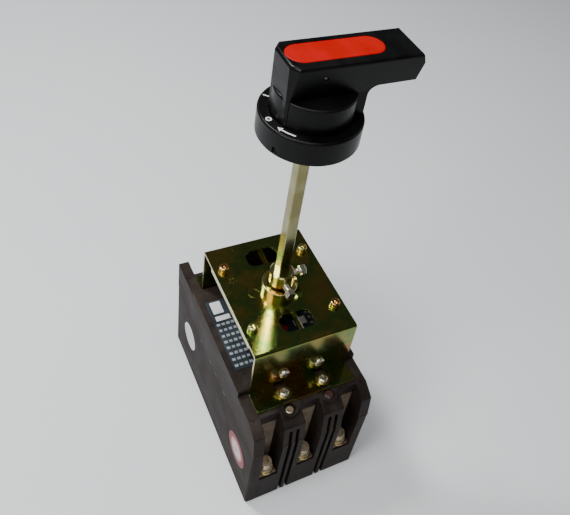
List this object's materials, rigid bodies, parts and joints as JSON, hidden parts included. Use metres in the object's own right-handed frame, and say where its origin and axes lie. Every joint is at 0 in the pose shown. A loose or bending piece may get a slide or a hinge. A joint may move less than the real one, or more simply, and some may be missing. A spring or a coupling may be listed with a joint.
{
  "type": "circuit breaker with rotary door handle",
  "caption": "Moulded-case circuit breaker with a plated rotary mechanism bracket, a square extension shaft and a black door handle with a red insert.",
  "frame": {"origin": "centre of the flat mounting face under the base housing", "axes": "+Z from the mounting face to the handle, along the shaft; +Y towards the line terminals; +X across the poles, the way the handle points at rest"},
  "size_m": [0.1223, 0.1914, 0.3982],
  "materials": {
    "housing": "dark brown-black moulded phenolic, dull",
    "cover": "dark brown-black moulded phenolic, satin",
    "zinc_yellow": "yellow zinc plated sheet steel, glossy and iridescent",
    "zinc_bright": "bright zinc plated steel",
    "terminal_copper": "tinned copper",
    "contact_silver": "silver alloy",
    "fibre": "tan vulcanised fibre",
    "black_plastic": "black nylon, satin",
    "red_plastic": "saturated red, satin",
    "inner_plastic": "grey moulded plastic",
    "plate_print": "printed dark blue-grey plate with light blank fields",
    "sticker_white": "white paper, dull",
    "sticker_ring": "pale paper with a printed ring",
    "wax": "red-brown sealing compound",
    "gasket": "black foam rubber"
  },
  "bodies": {
    "breaker": {"arc_chute_sides": "fibre", "arc_plates": "zinc_bright", "base_housing": "housing", "bearing_cup": "zinc_yellow", "bearing_nut": "zinc_bright", "bimetal_strips": "terminal_copper", "bracket": "zinc_yellow", "button_spring": "zinc_bright", "corner_pins": "zinc_bright", "cover_housing": "cover", "cover_screws": "zinc_bright", "fibre_screens": "fibre", "fixed_contacts": "contact_silver", "foot_screws": "zinc_bright", "foot_washers": "zinc_bright", "guide_rods": "zinc_bright", "magnet_yokes": "zinc_bright", "mechanism_frame": "zinc_yellow", "nameplate": "plate_print", "plate_flat_washers": "zinc_bright", "plate_nuts": "zinc_bright", "plate_screws": "zinc_bright", "plate_spring_washers": "zinc_bright", "ring_sticker": "sticker_ring", "round_sticker": "sticker_white", "stiffener_rails": "zinc_yellow", "terminal_bars_line": "terminal_copper", "terminal_bars_load": "terminal_copper", "terminal_flat_washers": "zinc_bright", "terminal_screws": "zinc_bright", "terminal_spring_washers": "zinc_bright", "toggle_pin": "zinc_bright", "wax_seal": "wax"},
    "handle": {"knob": "black_plastic", "grip_insert": "red_plastic", "square_shaft": "zinc_bright", "drive_sleeve": "zinc_bright", "set_bolt_front": "zinc_bright", "set_bolt_side": "zinc_bright", "knob_grub_screw": "zinc_bright", "knob_retainer": "zinc_bright", "crank_disc": "zinc_yellow", "crank_pin": "zinc_bright"},
    "dial": {"dial_ring": "black_plastic", "dial_gasket": "gasket"},
    "slider": {"slide_plate": "zinc_yellow"},
    "toggle": {"toggle_lever": "inner_plastic", "main_springs": "zinc_bright", "spring_link": "zinc_bright"},
    "crossbar": {"crossbar": "inner_plastic", "contact_arms": "terminal_copper", "moving_contacts": "contact_silver"},
    "trip_bar": {"trip_bar": "inner_plastic", "armatures": "zinc_bright"},
    "button": {"trip_button": "red_plastic"}
  },
  "joints": [
    {"name": "handle_turn", "type": "hinge", "parent": "breaker", "child": "handle", "pos_m": [0, 0, 0], "axis": [0, 0, 1], "range_deg": [-45, 33]},
    {"name": "dial_hold", "type": "hinge", "parent": "handle", "child": "dial", "pos_m": [0, 0, 0], "axis": [0, 0, 1], "range_deg": [-34, 46]},
    {"name": "slide_travel", "type": "slide", "parent": "breaker", "child": "slider", "axis": [0, 1, 0], "range_m": [-0.0087, 0.0118]},
    {"name": "toggle_swing", "type": "hinge", "parent": "breaker", "child": "toggle", "pos_m": [0, 0.008, 0.095], "axis": [1, 0, 0], "range_deg": [-14, 10.2]},
    {"name": "contact_swing", "type": "hinge", "parent": "breaker", "child": "crossbar", "pos_m": [0, -0.014, 0.05], "axis": [1, 0, 0], "range_deg": [-22.1, 16.3]},
    {"name": "button_press", "type": "slide", "parent": "breaker", "child": "button", "axis": [0, 0, -1], "range_m": [0, 0.0025], "stiffness_N_per_m": 300, "springref_m": -0.0005, "deforming": ["button_spring"]},
    {"name": "trip_bar_swing", "type": "hinge", "parent": "breaker", "child": "trip_bar", "pos_m": [0, -0.036, 0.1], "axis": [1, 0, 0], "range_deg": [-7, 0]}
  ],
  "couplings": [
    {"joint": "dial_hold", "follows": "handle_turn", "ratio": -1},
    {"joint": "slide_travel", "follows": "handle_turn", "m_per_rad": -0.0147},
    {"joint": "toggle_swing", "follows": "handle_turn", "ratio": 0.3031},
    {"joint": "contact_swing", "follows": "handle_turn", "ratio": 0.489},
    {"joint": "trip_bar_swing", "follows": "button_press", "rad_per_m": -47.6}
  ]
}
